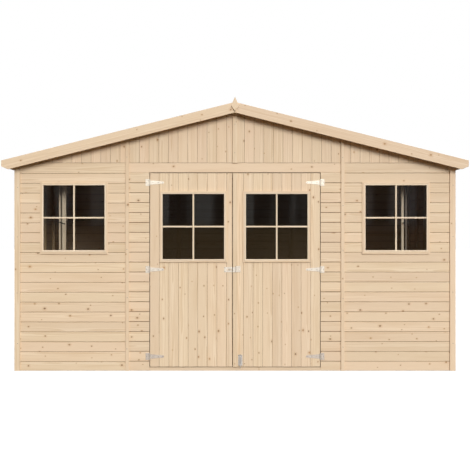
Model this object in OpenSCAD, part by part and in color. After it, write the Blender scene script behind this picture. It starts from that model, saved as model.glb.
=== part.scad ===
// Wooden garden shed with a low gable roof, a double door and two front windows.
// Millimetres, +Z up. The origin is on the floor at the middle of the plan, and the front faces -Y.

/* [Walls] */
// Width over the corner trims
wall_w = 3912; // [3700:2:4700]
// Depth between the outer faces of the front and back boards
wall_d = 2940; // [2400:10:3600]
// Height of the level boards, where the gables start
wall_h = 1844; // [1820:4:2240]
// Thickness of the wall boards
board_t = 16; // [12:1:22]
// Width of the bay that holds the doors, between the middles of its two battens
door_bay_w = 1912; // [1860:2:2000]

/* [Trims] */
// Thickness of the battens, the trims and the window casings
trim_t = 16; // [12:1:20]
// Width of a batten that covers a joint between two wall panels
batten_w = 31; // [25:1:45]
// Width of the batten in the middle of each gable
gable_batten_w = 43; // [30:1:60]
// Width of a corner trim on the front and the back
corner_w = 50; // [36:1:70]
// Width of a corner trim on the sides
side_corner_w = 60; // [40:1:90]

/* [Frame] */
// Width of a stud, a rail or a plate, along the wall
stud_w = 45; // [35:1:60]
// Depth of a stud, a rail or a plate, into the shed
stud_t = 28; // [22:1:45]
// Greatest distance between the studs of the back and side walls
stud_pitch = 660; // [500:10:900]
// Distance from the corner to the first inner stud of a side wall
first_stud = 241; // [120:1:300]

/* [Floor] */
// Height of the floor bearers
bearer_h = 28; // [20:1:60]
// Width of a floor bearer
bearer_w = 44; // [30:1:70]
// Number of floor bearers
bearer_n = 5; // [3:2:9]
// Thickness of the floor boards
floor_t = 16; // [12:1:28]

/* [Roof] */
// Rise of the roof for each millimetre across
roof_slope = 0.25; // [0.2:0.01:0.4]
// Height of the roof boards' underside over the gable line, at the side walls
eave_rise = 25.5; // [20:0.5:60]
// Thickness of the roof boards
deck_t = 16; // [12:1:24]
// Distance from the corner trims out to the ends of the barge boards
eave_over = 98; // [60:1:200]
// Distance from the front boards out to the face of the barge boards
gable_over = 120; // [80:1:250]
// Height of the barge boards, square to their edges
barge_w = 90; // [80:1:140]
// Thickness of the barge boards and the eave boards
barge_t = 16; // [12:1:24]
// Height that the barge boards stand over the roof boards
barge_lip = 3; // [2:1:12]
// Height of the upright cut at each end of a barge board
barge_end_h = 52; // [40:1:60]
// Width of the slanting cut at each end of a barge board
barge_clip_w = 58; // [30:1:80]
// Height of the eave boards
eave_board_h = 54; // [40:1:60]
// Width of the ridge beam and the purlins
purlin_w = 45; // [30:1:60]
// Distance from the ridge to the inner purlins, and from those to the outer ones
purlin_step = 771; // [600:1:800]
// Height of a purlin
purlin_h = 60; // [40:1:90]
// Height of the ridge beam
ridge_h = 74; // [70:1:140]
// Height of a gable rafter
rafter_h = 95; // [80:1:140]
// Width of the post under the left and the right outer purlin
post_w = [36, 22]; // [18:1:45]
// Distance of each post's middle out from its purlin's middle
post_out = [15, -16]; // [-20:1:20]
// Depth of the posts and the laths
post_t = 38; // [30:1:60]
// Distance from the front boards' outer face to the posts
post_back = 284; // [120:1:400]
// Width of the lath beside the left and the right post
lath_w = [16, 18]; // [12:1:22]
// Gap between a post and its lath
lath_gap = [18, 17]; // [4:1:24]
// Width of the diamond on each ridge end
finial_w = 72; // [40:1:90]
// Height of the diamond's upper half
finial_up = 80; // [50:1:110]
// Height of the diamond's lower half
finial_down = 51; // [30:1:70]
// Height of the diamond's widest point under the top of the barge boards
finial_drop = 35; // [10:1:60]

/* [Windows] */
// Width of the glass that shows in a wall window
pane_w = 540; // [400:2:640]
// Height of the glass that shows in a wall window
pane_h = 574; // [400:1:680]
// Height of the middle of a wall window
pane_z = 1357.5; // [1200:0.5:1500]
// Shift of a wall window from the middle of its panel towards the doors
window_in = 2.5; // [0:0.5:20]
// Width of a wall window's casing at the sides and the top
casing_w = 30; // [25:1:45]
// Width of a wall window's casing at the bottom
casing_foot = 35; // [25:1:60]
// Thickness of the glass
glass_t = 4; // [3:1:6]
// Width of the glass that the casing covers
glass_lap = 8; // [5:1:15]

/* [Doors] */
// Width of the doorway between its side panels
doorway_w = 1520; // [1440:2:1600]
// Height of the doorway's head
doorway_h = 1760; // [1720:2:1790]
// Gap between a door and the side of the doorway
door_gap = 5; // [5:0.5:8]
// Gap over and under the doors, and between the two
door_split = 5.6; // [5.6:0.1:9]
// Place of the gap between the two doors, from the middle
split_x = -22; // [-40:1:0]
// Width of the strip along the meeting edge
strip_w = 40; // [30:1:60]
// Height of the door sill
sill_h = 30; // [20:1:44]
// Depth of the sill's face behind the front boards
sill_back = 4; // [2:1:10]
// Thickness of the ledges behind the doors
ledge_t = 20; // [14:1:24]
// Height of a ledge
ledge_h = 90; // [60:1:100]
// Distance from a ledge's end to the door's edge
ledge_inset = 30; // [20:1:60]
// Heights of the hinges and the ledges behind them
hinge_z = [127, 899, 1671];
// Width of the glass that shows in a door
door_pane_w = 544; // [400:2:560]
// Height of the glass that shows in a door
door_pane_h = 577; // [400:1:580]
// Height of the middle of a door's glass
door_pane_z = 1279; // [1250:1:1300]
// Distance from the middle to the middle of a door's glass
door_pane_x = 370; // [360:1:380]
// Width of a door window's casing
door_casing_w = 28; // [25:1:40]

/* [Hardware] */
// Thickness of the hinge plates and straps
plate_t = 2.5; // [2:0.5:4]
// Radius of a hinge knuckle
knuckle_r = 5; // [4:0.5:6]
// Radius of a hinge pin
pin_r = 2.5; // [2:0.5:3]
// Play around a pin or a bolt
play = 0.05; // [0.02:0.01:0.08]
// Height of a hinge's wall plate
wall_plate_h = 61; // [50:1:80]
// Width of a hinge's wall plate
wall_plate_w = 30; // [20:1:40]
// Height of a strap's middle knuckle
mid_knuckle_h = 25; // [15:1:30]
// Length of a hinge strap, from its pin
strap_l = 128; // [90:1:200]
// Height of a strap near its pin
strap_h = 40; // [30:1:50]
// Radius of a strap's round end
strap_end_r = 10; // [6:1:14]
// Width of the hasp's slotted plate
hasp_w = 71; // [50:1:80]
// Height of the hasp's slotted plate
hasp_h = 46; // [36:1:60]
// Height of the middle of the hasp
hasp_z = 898; // [860:1:930]
// Height of the hasp's hinge plate
hasp_hinge_h = 55; // [40:1:70]
// Width of the hasp's hinge plate
hasp_hinge_w = 36; // [25:1:50]
// Radius of the door bolt
bolt_r = 4; // [3:0.5:5]
// Distance from the middle to the door bolt
bolt_x = 47; // [44:1:80]
// Height of the door bolt's lower end
bolt_tip = 24; // [16:1:34]
// Length of the door bolt
bolt_l = 122; // [115:1:150]
// Width of the bolt's plate
bolt_plate_w = 38; // [30:1:44]
// Height of the bolt's plate
bolt_plate_h = 96; // [90:1:110]

/* [Hidden] */

WOOD = "#e2c9a8";
FRAME_WOOD = "#d9bd97";
STEEL = "#c9cccd";
GLASS = "#26221e";
PIECE_GAP = 0.5;      // between pieces that share a node
SEAT_GAP = 0.1;       // between the roof boards and what carries them

face_y = wall_d / 2;                       // outer face of the front and back boards
inner_y = face_y - board_t;                // inner face of the front and back boards
frame_y = inner_y - stud_t;                // inner face of the front and back frames
side_x = wall_w / 2 - trim_t;              // outer face of the side boards
side_in = side_x - board_t;                // inner face of the side boards
frame_x = side_in - stud_t;                // inner face of the side frames
joint_x = door_bay_w / 2;                  // joint between two front panels
window_x = (joint_x + wall_w / 2 - corner_w) / 2 - window_in;
plate_top = wall_h - stud_w;               // underside of the top plates
barge_y = face_y + gable_over;             // outer face of the barge boards
deck_y = barge_y - barge_t;                // end of the roof boards and the purlins
barge_x = wall_w / 2 + eave_over;          // end of the barge boards
eave_in = barge_x - 2 * barge_lip / 3 - barge_t;   // inner face of the eave boards
eave_out = eave_in + barge_t;
slant = sqrt(1 + roof_slope * roof_slope);
purlin_x = [purlin_step, 2 * purlin_step];
floor_top = bearer_h + floor_t;

hinge_x = doorway_w / 2 - door_gap / 2;    // hinge pins, from the middle
pin_y = -face_y - knuckle_r - 1;           // hinge pins stand a little off the boards
door_edge = doorway_w / 2 - door_gap;
door_low = sill_h + door_split;
door_high = doorway_h - door_split;
split_left = split_x - door_split / 2;
split_right = split_x + door_split / 2;

bolt_y = -face_y - 2 - 1.5 * bolt_r;
bolt_plate_low = door_low + 9;
guide_h = 12;

// Underside of the roof boards at a distance x from the middle
function roof_under(x) = wall_h + eave_rise + roof_slope * (side_x - abs(x));
// Top of what reaches up to the roof boards
function roof_seat(x) = roof_under(x) - SEAT_GAP;
// Top of the roof boards
function roof_top(x) = roof_under(x) + deck_t * slant;
// Top edge of the barge boards
function barge_top(x) = roof_top(x) + barge_lip;
// Underside of the outer purlins
purlin_low = roof_under(purlin_x[1]) - purlin_h;

// A box from its low corner to its high corner
module block(low, high) {
    translate(low) cube(high - low);
}

// An outline drawn in X and Z, made solid from y0 to y1
module upright(y0, y1) {
    translate([0, y1, 0]) rotate([90, 0, 0]) linear_extrude(y1 - y0) children();
}

// A copy on both sides of the middle
module both_sides() {
    children();
    mirror([1, 0, 0]) children();
}

// A copy on the front and on the back
module both_ends() {
    children();
    mirror([0, 1, 0]) children();
}

// ---------------------------------------------------------------- walls

// A window cut through the boards of the right-hand panel
module window_cut() {
    w = pane_w / 2 + glass_lap;
    h = pane_h / 2 + glass_lap;
    block([window_x - w, -face_y - 1, pane_z - h], [window_x + w, -inner_y + 1, pane_z + h]);
}

module front_panel() {
    difference() {
        block([joint_x, -face_y, 0], [side_x, -inner_y, wall_h]);
        window_cut();
    }
}

module front_wall_left() {
    color(WOOD) mirror([1, 0, 0]) front_panel();
}

module front_wall_right() {
    color(WOOD) front_panel();
}

module door_side_panels() {
    color(WOOD) both_sides() block([doorway_w / 2, -face_y, 0], [joint_x, -inner_y, doorway_h]);
}

module door_header() {
    color(WOOD) block([-joint_x, -face_y, doorway_h], [joint_x, -inner_y, wall_h]);
}

module ridge_outline() {
    w = purlin_w / 2;
    low = roof_under(0) - ridge_h;
    polygon([[-w, low], [w, low], [w, roof_seat(w)], [0, roof_seat(0)], [-w, roof_seat(w)]]);
}

module purlin_outline(x) {
    w = purlin_w / 2;
    low = roof_under(x) - purlin_h;
    polygon([[x - w, low], [x + w, low], [x + w, roof_seat(x + w)], [x - w, roof_seat(x - w)]]);
}

module purlin_outlines() {
    for (x = purlin_x) both_sides() purlin_outline(x);
}

module gable_outline() {
    difference() {
        polygon([
            [-side_x, wall_h], [side_x, wall_h], [side_x, roof_seat(side_x)],
            [0, roof_seat(0)], [-side_x, roof_seat(side_x)]
        ]);
        ridge_outline();
        purlin_outlines();
    }
}

module gable() {
    upright(-face_y, -inner_y) gable_outline();
}

module front_gable() {
    color(WOOD) gable();
}

module back_gable() {
    color(WOOD) mirror([0, 1, 0]) gable();
}

module back_wall() {
    color(WOOD) block([-side_x, inner_y, 0], [side_x, face_y, wall_h]);
}

module side_wall() {
    upright(-inner_y, inner_y) polygon([
        [side_in, 0], [side_x, 0], [side_x, roof_seat(side_x)], [side_in, roof_seat(side_in)]
    ]);
}

module left_wall() {
    color(WOOD) mirror([1, 0, 0]) side_wall();
}

module right_wall() {
    color(WOOD) side_wall();
}

// ---------------------------------------------------------------- trims

// An upright trim on the front face, from x0 to x1, cut to the roof at its top
module front_trim(x0, x1, low) {
    upright(-face_y - trim_t, -face_y) polygon([
        [x0, low], [x1, low], [x1, roof_seat(x1)], [x0, roof_seat(x0)]
    ]);
}

module gable_batten() {
    w = gable_batten_w / 2;
    low = roof_under(0) - ridge_h;
    block([-w, -face_y - trim_t, wall_h], [w, -face_y, low]);
}

module wall_battens() {
    w = batten_w / 2;
    color(WOOD) both_ends() {
        both_sides() front_trim(joint_x - w, joint_x + w, 0);
        gable_batten();
    }
    color(WOOD) both_sides() upright(-w, w) polygon([
        [side_x, 0], [side_x + trim_t, 0],
        [side_x + trim_t, roof_seat(side_x + trim_t)], [side_x, roof_seat(side_x)]
    ]);
}

module corner_trims() {
    edge = side_x + trim_t;
    color(WOOD) both_ends() both_sides() {
        front_trim(wall_w / 2 - corner_w, wall_w / 2, 0);
        upright(-face_y + PIECE_GAP, -face_y + side_corner_w) polygon([
            [side_x, 0], [edge, 0], [edge, roof_seat(edge)], [side_x, roof_seat(side_x)]
        ]);
    }
}

// ---------------------------------------------------------------- frame

// A stud of the front or back frame, from x0 to x1
module face_stud(x0, x1) {
    block([x0, -inner_y, stud_w], [x1, -frame_y, plate_top]);
}

module front_studs() {
    cut = pane_w / 2 + glass_lap;
    both_sides() {
        face_stud(doorway_w / 2, doorway_w / 2 + stud_w);
        face_stud(joint_x - stud_w, joint_x + stud_w);
        face_stud(window_x - cut - stud_w, window_x - cut);
        face_stud(window_x + cut, window_x + cut + stud_w);
        face_stud(side_in - stud_w, side_in);
    }
}

module back_studs() {
    bays = ceil((side_in - stud_w) / stud_pitch);
    step = (side_in - stud_w / 2) / bays;
    mirror([0, 1, 0]) {
        face_stud(-stud_w / 2, stud_w / 2);
        both_sides() for (i = [1 : bays]) face_stud(i * step - stud_w / 2, i * step + stud_w / 2);
    }
}

module side_stud(y0) {
    block([frame_x, y0, stud_w], [side_in, y0 + stud_w, plate_top]);
}

module side_studs() {
    inner = frame_y - first_stud;
    bays = ceil(inner / stud_pitch);
    step = (inner - stud_w / 2) / bays;
    both_sides() {
        side_stud(-stud_w / 2);
        both_ends() {
            for (i = [1 : bays]) side_stud(i * step - stud_w / 2);
            side_stud(frame_y - PIECE_GAP - stud_w);
        }
    }
}

module wall_studs() {
    color(FRAME_WOOD) {
        front_studs();
        back_studs();
        side_studs();
    }
}

module bottom_plates() {
    both_sides() {
        block([doorway_w / 2, -inner_y, 0], [side_in, -frame_y, stud_w]);
        block([frame_x, -frame_y + PIECE_GAP, 0], [side_in, frame_y - PIECE_GAP, stud_w]);
    }
    block([-side_in, frame_y, 0], [side_in, inner_y, stud_w]);
}

module top_plates() {
    run = frame_y - PIECE_GAP;
    both_ends() block([-side_in, -inner_y, plate_top], [side_in, -frame_y, wall_h]);
    both_sides() upright(-run, run) polygon([
        [frame_x, plate_top], [side_in, plate_top],
        [side_in, roof_seat(side_in)], [frame_x, roof_seat(frame_x)]
    ]);
}

module wall_plates() {
    color(FRAME_WOOD) {
        bottom_plates();
        top_plates();
    }
}

module window_rails() {
    w = pane_w / 2 + glass_lap;
    h = pane_h / 2 + glass_lap;
    color(FRAME_WOOD) {
        both_sides() for (z = [pane_z - h - stud_w, pane_z + h])
            block([window_x - w, -inner_y, z], [window_x + w, -frame_y, z + stud_w]);
        block([-doorway_w / 2, -inner_y, doorway_h], [doorway_w / 2, -frame_y, plate_top]);
    }
}

module rafter_outline() {
    w = purlin_w / 2;
    foot = side_in - (roof_under(side_in) - wall_h);
    knee = (roof_under(0) - rafter_h - wall_h) / roof_slope;
    difference() {
        polygon([
            [w, roof_seat(w)], [side_in, roof_seat(side_in)], [side_in, wall_h],
            [min(knee, foot), wall_h], [w, roof_seat(w) - rafter_h]
        ]);
        purlin_outlines();
    }
}

module gable_rafters() {
    color(FRAME_WOOD) both_ends() both_sides() upright(-inner_y, -frame_y) rafter_outline();
}

// ---------------------------------------------------------------- floor

module floor_boards() {
    x = frame_x - PIECE_GAP;
    y = frame_y - PIECE_GAP;
    color(FRAME_WOOD) block([-x, -y, bearer_h], [x, y, floor_top]);
}

module floor_bearers() {
    x = frame_x - PIECE_GAP;
    reach = frame_y - PIECE_GAP - bearer_w / 2;
    step = 2 * reach / (bearer_n - 1);
    color(FRAME_WOOD) for (i = [0 : bearer_n - 1])
        translate([-x, -reach + i * step - bearer_w / 2, 0]) cube([2 * x, bearer_w, bearer_h]);
}

module door_sill() {
    w = doorway_w / 2;
    color(WOOD) block([-w, -face_y + sill_back, 0], [w, -frame_y, sill_h]);
}

// ---------------------------------------------------------------- roof

module roof_half() {
    upright(-deck_y, deck_y) polygon([
        [0, roof_under(0)], [eave_in, roof_under(eave_in)],
        [eave_in, roof_top(eave_in)], [0, roof_top(0)]
    ]);
}

module roof_left() {
    color(WOOD) mirror([1, 0, 0]) roof_half();
}

module roof_right() {
    color(WOOD) roof_half();
}

module ridge_beam() {
    color(FRAME_WOOD) upright(-deck_y, deck_y) ridge_outline();
}

module purlins() {
    color(FRAME_WOOD) upright(-deck_y, deck_y) purlin_outlines();
}

// Height that a lath from x0 to x1 reaches: the purlin over it, or else the roof
function lath_top(x0, x1) =
    x0 < purlin_x[1] + purlin_w / 2 ? [purlin_low, purlin_low] : [roof_seat(x0), roof_seat(x1)];

// An upright of the frame behind the windows, on the right-hand side, from x0 to x1
module frame_upright(y, x0, x1, tops) {
    upright(y, y + post_t) polygon([[x0, floor_top], [x1, floor_top], [x1, tops[1]], [x0, tops[0]]]);
}

// Behind each window, a post from the floor to the outer purlin, and a lath on its outer side
module purlin_posts() {
    y = -face_y + post_back;
    color(FRAME_WOOD) for (side = [0, 1]) mirror([1 - side, 0, 0]) {
        x0 = purlin_x[1] + post_out[side] - post_w[side] / 2;
        x1 = x0 + post_w[side];
        x2 = x1 + lath_gap[side];
        x3 = x2 + lath_w[side];
        frame_upright(y, x0, x1, [purlin_low, purlin_low]);
        frame_upright(y + post_t, x2, x3, lath_top(x2, x3));
    }
}

// One barge board with its clipped end
module barge_board() {
    drop = barge_w * slant;
    clip_x = barge_x - barge_clip_w;
    upright(-barge_y, -deck_y) polygon([
        [PIECE_GAP / 2, barge_top(0)], [barge_x, barge_top(barge_x)],
        [barge_x, barge_top(barge_x) - barge_end_h], [clip_x, barge_top(clip_x) - drop],
        [PIECE_GAP / 2, barge_top(0) - drop]
    ]);
}

module front_barge_boards() {
    color(WOOD) both_sides() barge_board();
}

module back_barge_boards() {
    color(WOOD) mirror([0, 1, 0]) both_sides() barge_board();
}

module eave_boards() {
    color(WOOD) both_sides() upright(-deck_y, deck_y) polygon([
        [eave_in, roof_top(eave_out) - eave_board_h], [eave_out, roof_top(eave_out) - eave_board_h],
        [eave_out, roof_top(eave_out)], [eave_in, roof_top(eave_in)]
    ]);
}

module ridge_finials() {
    w = finial_w / 2;
    mid = barge_top(0) - finial_drop;
    color(WOOD) both_ends() upright(-barge_y - trim_t, -barge_y) polygon([
        [0, mid - finial_down], [w, mid], [0, mid + finial_up], [-w, mid]
    ]);
}

// ---------------------------------------------------------------- windows

// Four boards round a pane of w by h, standing on the front boards
module casing(x, z, w, h, side, top, foot) {
    out = w / 2 + side;
    y0 = -face_y - trim_t;
    for (s = [-1, 1])
        block([x + (s < 0 ? -out : w / 2), y0, z - h / 2 - foot],
              [x + (s < 0 ? -w / 2 : out), -face_y, z + h / 2 + top]);
    rail = w / 2 - PIECE_GAP;
    block([x - rail, y0, z - h / 2 - foot], [x + rail, -face_y, z - h / 2]);
    block([x - rail, y0, z + h / 2], [x + rail, -face_y, z + h / 2 + top]);
}

// A pane of glass behind its casing
module pane(x, z, w, h) {
    gw = w / 2 + glass_lap - PIECE_GAP;
    gh = h / 2 + glass_lap - PIECE_GAP;
    block([x - gw, -face_y, z - gh], [x + gw, -face_y + glass_t, z + gh]);
}

module window_casings() {
    color(WOOD) both_sides()
        casing(window_x, pane_z, pane_w, pane_h, casing_w, casing_w, casing_foot);
}

module window_glass() {
    color(GLASS) both_sides() pane(window_x, pane_z, pane_w, pane_h);
}

// ---------------------------------------------------------------- doors

// A door's boards from x0 to x1 with the window cut at x
module door_boards(x0, x1, x) {
    w = door_pane_w / 2 + glass_lap;
    h = door_pane_h / 2 + glass_lap;
    difference() {
        block([x0, -face_y, door_low], [x1, -inner_y, door_high]);
        block([x - w, -face_y - 1, door_pane_z - h], [x + w, -inner_y + 1, door_pane_z + h]);
    }
}

module door_ledges(x0, x1) {
    for (z = hinge_z)
        block([x0 + ledge_inset, -inner_y, z - ledge_h / 2],
              [x1 - ledge_inset, -inner_y + ledge_t, z + ledge_h / 2]);
}

module door_casing(x) {
    casing(x, door_pane_z, door_pane_w, door_pane_h, door_casing_w, door_casing_w, door_casing_w);
}

module left_door() {
    color(WOOD) door_boards(-door_edge, split_left, -door_pane_x);
}

module left_door_ledges() {
    color(FRAME_WOOD) door_ledges(-door_edge, split_left);
}

module left_door_casing() {
    color(WOOD) door_casing(-door_pane_x);
}

module left_door_glass() {
    color(GLASS) pane(-door_pane_x, door_pane_z, door_pane_w, door_pane_h);
}

module right_door() {
    color(WOOD) door_boards(split_right, door_edge, door_pane_x);
}

module right_door_ledges() {
    color(FRAME_WOOD) door_ledges(split_right, door_edge);
}

module right_door_casing() {
    color(WOOD) door_casing(door_pane_x);
}

module right_door_glass() {
    color(GLASS) pane(door_pane_x, door_pane_z, door_pane_w, door_pane_h);
}

module door_cover_strip() {
    color(WOOD) block([split_right, -face_y - trim_t, door_low],
                      [split_right + strip_w, -face_y, door_high]);
}

// ---------------------------------------------------------------- hardware

// A hinge's outer knuckles, its pin and its plate on the wall, for the right-hand side at height z
module wall_hinge(z) {
    outer = (wall_plate_h - mid_knuckle_h) / 2 - PIECE_GAP;
    y1 = -face_y;
    y0 = y1 - plate_t;
    low = z - wall_plate_h / 2;
    high = z + wall_plate_h / 2;
    clear = hinge_x + knuckle_r + 1;
    translate([hinge_x, pin_y, low]) cylinder(r = pin_r, h = wall_plate_h, $fn = 32);
    for (z0 = [low, high - outer]) {
        translate([hinge_x, pin_y, z0]) cylinder(r = knuckle_r, h = outer, $fn = 48);
        block([hinge_x + 1, y0, z0], [clear + 1, y1, z0 + outer]);
    }
    block([clear, y0, low], [clear + wall_plate_w, y1, high]);
}

// A hinge strap with its knuckle, for the right-hand door at height z
module hinge_strap(z) {
    root = hinge_x - knuckle_r - 1;
    end = hinge_x - strap_l + strap_end_r;
    half = mid_knuckle_h / 2;
    difference() {
        union() {
            translate([hinge_x, pin_y, z - half]) cylinder(r = knuckle_r, h = mid_knuckle_h, $fn = 48);
            block([root - 1, -face_y - plate_t, z - half], [hinge_x - 1, -face_y, z + half]);
            upright(-face_y - plate_t, -face_y) {
                polygon([
                    [root, z - strap_h / 2], [root, z + strap_h / 2],
                    [end, z + strap_end_r], [end, z - strap_end_r]
                ]);
                translate([end, z]) circle(r = strap_end_r, $fn = 48);
            }
        }
        translate([hinge_x, pin_y, z - half - 1])
            cylinder(r = pin_r + play, h = mid_knuckle_h + 2, $fn = 32);
    }
}

module left_hinge_straps() {
    color(STEEL) mirror([1, 0, 0]) for (z = hinge_z) hinge_strap(z);
}

module right_hinge_straps() {
    color(STEEL) for (z = hinge_z) hinge_strap(z);
}

module wall_hinge_plates() {
    color(STEEL) both_sides() for (z = hinge_z) wall_hinge(z);
}

// The slotted plate on the left door, with the staple standing in its slot
module hasp_plate() {
    edge = split_left;
    y1 = -face_y;
    slot_w = 38;
    slot_h = 12;
    slot_x = edge - slot_w / 2 - 6;
    staple_w = 20;
    staple_r = 3;
    color(STEEL) {
        difference() {
            block([edge - hasp_w, y1 - plate_t, hasp_z - hasp_h / 2], [edge, y1, hasp_z + hasp_h / 2]);
            block([slot_x - slot_w / 2, y1 - plate_t - 1, hasp_z - slot_h / 2],
                  [slot_x + slot_w / 2, y1 + 1, hasp_z + slot_h / 2]);
        }
        translate([slot_x, y1, hasp_z]) {
            for (s = [-1, 1]) translate([s * (staple_w / 2 - staple_r), 0, 0]) rotate([90, 0, 0])
                cylinder(r = staple_r, h = 14, $fn = 24);
            translate([-staple_w / 2 + staple_r, -14, 0]) rotate([0, 90, 0])
                cylinder(r = staple_r, h = staple_w - 2 * staple_r, $fn = 24);
        }
    }
}

// The hasp's hinge on the right door. The flap's end lies on the cover strip, and the hinge plate
// steps down beside the strip to the boards
module hasp_hinge() {
    y1 = -face_y;
    y2 = y1 - trim_t;
    pin_x = split_right + 27;
    strip_x = split_right + strip_w;
    plate_x = pin_x + knuckle_r + hasp_hinge_w;
    low = hasp_z - hasp_h / 2;
    high = low + hasp_hinge_h;
    color(STEEL) {
        block([split_right, y2 - plate_t, low], [pin_x, y2, low + hasp_h]);
        translate([pin_x, y2 - knuckle_r, low]) cylinder(r = knuckle_r, h = hasp_hinge_h, $fn = 48);
        block([pin_x, y2 - plate_t, low], [strip_x + plate_t, y2, high]);
        block([strip_x, y2 - plate_t, low], [strip_x + plate_t, y1, high]);
        block([strip_x, y1 - plate_t, low], [plate_x, y1, high]);
    }
}

module bolt_plate() {
    w = bolt_plate_w / 2;
    y1 = -face_y;
    high = bolt_plate_low + bolt_plate_h;
    guide_w = bolt_r + 5;
    color(STEEL) difference() {
        union() {
            block([bolt_x - w, y1 - 2, bolt_plate_low], [bolt_x + w, y1, high]);
            for (z = [bolt_plate_low + 6, high - 6 - guide_h])
                block([bolt_x - guide_w, bolt_y - bolt_r - 2, z], [bolt_x + guide_w, y1 - 1, z + guide_h]);
        }
        translate([bolt_x, bolt_y, bolt_plate_low])
            cylinder(r = bolt_r + play, h = bolt_plate_h, $fn = 48);
    }
}

module bolt_rod() {
    knob_z = bolt_plate_low + bolt_plate_h / 2;
    color(STEEL) {
        translate([bolt_x, bolt_y, bolt_tip]) cylinder(r = bolt_r, h = bolt_l, $fn = 48);
        translate([bolt_x, bolt_y, knob_z]) rotate([90, 0, 0]) cylinder(r = 3, h = 16, $fn = 32);
        translate([bolt_x, bolt_y - 16, knob_z]) rotate([90, 0, 0]) cylinder(r = 5, h = 5, $fn = 32);
    }
}

front_wall_left();
front_wall_right();
door_side_panels();
door_header();
front_gable();
back_wall();
back_gable();
left_wall();
right_wall();
wall_battens();
corner_trims();
wall_studs();
wall_plates();
window_rails();
gable_rafters();
floor_boards();
floor_bearers();
door_sill();
roof_left();
roof_right();
ridge_beam();
purlins();
purlin_posts();
front_barge_boards();
back_barge_boards();
eave_boards();
ridge_finials();
window_casings();
window_glass();
left_door();
left_door_ledges();
left_door_casing();
left_door_glass();
left_hinge_straps();
right_door();
right_door_ledges();
right_door_casing();
right_door_glass();
right_hinge_straps();
door_cover_strip();
wall_hinge_plates();
hasp_plate();
hasp_hinge();
bolt_plate();
bolt_rod();
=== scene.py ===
"""Looks of the wooden garden shed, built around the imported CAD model.

Units are metres, +Z is up and the front faces -Y. Walls, gables, doors, roof and floor are made of
separate tongue-and-groove boards. The frame and the trims are the CAD pieces with eased edges.
"""
import math
import random

import bmesh
import bpy
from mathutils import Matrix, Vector


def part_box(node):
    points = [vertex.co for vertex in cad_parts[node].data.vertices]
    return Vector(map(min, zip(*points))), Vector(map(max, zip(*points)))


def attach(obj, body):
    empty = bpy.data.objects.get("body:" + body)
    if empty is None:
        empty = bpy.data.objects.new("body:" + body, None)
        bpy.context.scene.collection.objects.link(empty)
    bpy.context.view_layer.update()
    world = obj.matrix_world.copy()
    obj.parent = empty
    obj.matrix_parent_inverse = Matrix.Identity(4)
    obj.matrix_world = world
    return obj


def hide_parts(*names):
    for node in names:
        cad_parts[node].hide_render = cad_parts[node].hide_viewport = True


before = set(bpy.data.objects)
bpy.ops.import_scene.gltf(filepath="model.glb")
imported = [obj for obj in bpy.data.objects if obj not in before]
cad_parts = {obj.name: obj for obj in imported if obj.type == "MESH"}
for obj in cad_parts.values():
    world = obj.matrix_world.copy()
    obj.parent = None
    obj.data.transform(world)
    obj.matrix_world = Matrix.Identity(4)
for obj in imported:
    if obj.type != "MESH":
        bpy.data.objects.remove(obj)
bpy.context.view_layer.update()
RNG = random.Random(11)
MM = 0.001
X, Y, Z = Vector((1, 0, 0)), Vector((0, 1, 0)), Vector((0, 0, 1))

# ---------------------------------------------------------------- sizes

BOARD = 15.5 * MM            # thickness of a wall, door or roof board
SETTLE = 0.5 * MM            # how far a board may lie behind its neighbours
UPRIGHT_SEAM = (1.4 * MM, 1.5 * MM)      # gap between two upright boards, and their edges' chamfer
LEVEL_SEAM = (2.4 * MM, 2.5 * MM)        # the same of two level boards
WIDE_SEAM = (4 * MM, 2.5 * MM)           # the same of the short boards beside the doors
BACK_CHAMFER = 3 * MM        # chamfer under the roof boards
TONGUE = 4 * MM              # how far a tongue reaches into the next board
TONGUE_SPAN = (5.5 * MM, 10 * MM)        # the tongue's front and back, from the board's face
GROOVE_PLAY = 0.7 * MM       # room round a tongue in its groove, more than SETTLE
LEAST_BOARD = 12 * MM        # a narrower strip is left to the board beside it

WALL_COURSE = 88 * MM
WALL_FIRST = 80 * MM         # height of the lowest seam
RIGHT_FIRST = 83 * MM        # the same of the front's right panel
SIDE_FIRST = 84 * MM         # the same of the panels beside the doors
DOOR_COURSE = 85.3 * MM
HINGE_SETBACK = 2.5 * MM     # from a door's edge out to its hinge's axis, where its boards are counted from
GABLE_LEFT = (76.5 * MM, 85.8 * MM)      # first seam from the middle, and the boards' width
GABLE_RIGHT = (84 * MM, 85.6 * MM)
ROOF_COURSE = 88 * MM
FLOOR_COURSE = 96 * MM
ROOF_SLOPE = 0.25
CUT_DEPTH, CUT_RISE = 2, 1   # reach of the gables' cuts, front to back and up, well past the wood

GLASS_LAP = 7.5 * MM         # glass behind its casing
BEAD = 15 * MM               # width of the bead round a pane
BEAD_BACK = 3 * MM           # the casing boards stand this much behind the bead
BAR = 15 * MM                # width of a glazing bar
BAR_T = 12 * MM
NOSE_R = 6 * MM              # rounding of a bead's inner edge
WINDOW_REACH = 1             # casing boards this near a pane's middle are its own
EASED = 1.6 * MM             # rounding of the planed timber's edges
GEM_EDGE = 5 * MM            # the chamfer round a ridge finial
METAL_EASED = 0.5 * MM
FIT = 0.3 * MM               # clearance between pieces that meet

SAME_PLANE = math.radians(1)             # faces that turn less than this are one flat face
SHARP_WOOD, SHARP_STEEL = math.radians(20), math.radians(30)     # edges that are eased
CREASE = math.radians(50)                # edges of the steel that aren't shaded smooth

NAIL_STEP = 0.45             # between two nails of a trim
NAIL_R = 3.2 * MM
SCREW_SIDES = 16
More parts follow.
